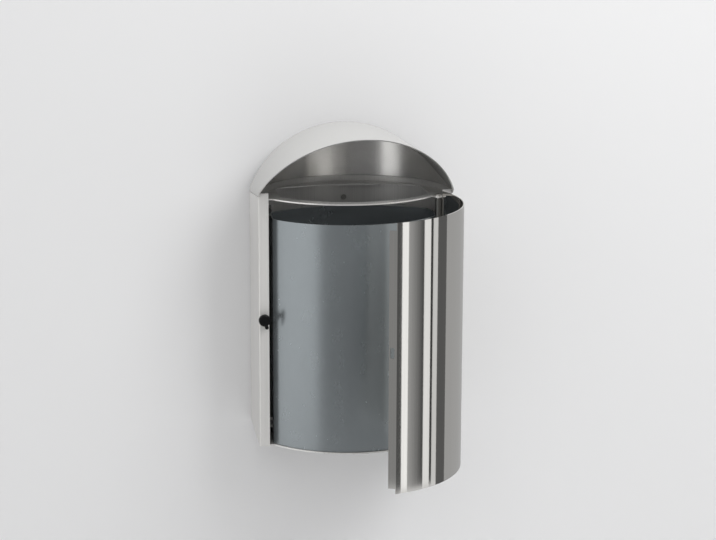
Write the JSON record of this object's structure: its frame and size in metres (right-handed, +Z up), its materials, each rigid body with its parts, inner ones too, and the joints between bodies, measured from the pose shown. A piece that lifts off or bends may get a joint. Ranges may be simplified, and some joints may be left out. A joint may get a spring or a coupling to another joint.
{
  "type": "wall-mounted ashtray bin",
  "caption": "Wall-hung stainless litter bin with a rain hood over the litter opening, a curved hinged door with a turn lock, and a lift-out galvanised liner.",
  "frame": {"origin": "centre of the four wall holes, on the back face that lies on the wall", "axes": "+Y out of the back into the wall, so the front faces -Y; +Z up; +X to the right seen from the front, the hinge side"},
  "size_m": [0.2964, 0.3862, 0.4958],
  "materials": {
    "stainless": "satin",
    "door_stainless": "satin",
    "fixings": "plain",
    "galvanised": "galvanised, dull",
    "black_lock": "black",
    "black_rubber": "matt"
  },
  "bodies": {
    "casing": {"hood": "stainless", "hood_back": "stainless", "back_plate": "stainless", "side_wall_left": "stainless", "side_wall_right": "stainless", "back_shell": "stainless", "top_plate": "stainless", "bottom_plate": "stainless", "shell_screws": "fixings", "door_stop_upper": "stainless", "door_stop_lower": "stainless", "stop_buffers": "black_rubber", "stop_rivets": "fixings", "upper_hinge_pin": "fixings", "lower_hinge_pin": "fixings", "hinge_washer": "fixings", "lock_housing": "black_lock", "lock_nut": "fixings"},
    "door": {"door_skin": "door_stainless", "hinge_tube": "door_stainless"},
    "lock": {"lock_knob": "black_lock", "lock_cam": "fixings", "cam_screw": "fixings"},
    "liner": {"liner_shell": "galvanised", "liner_floor": "galvanised"}
  },
  "joints": [
    {"name": "door_hinge", "type": "hinge", "parent": "casing", "child": "door", "pos_m": [0.125, -0.15006, 0], "axis": [0, 0, 1], "range_deg": [-67.5, 32.5]},
    {"name": "lock_turn", "type": "hinge", "parent": "casing", "child": "lock", "pos_m": [-0.13975, -0.148, 0.007], "axis": [0, 1, 0], "range_deg": [0, 90]},
    {"name": "liner_lift", "type": "slide", "parent": "casing", "child": "liner", "axis": [0, 0, 1], "range_m": [0, 0.022]}
  ]
}
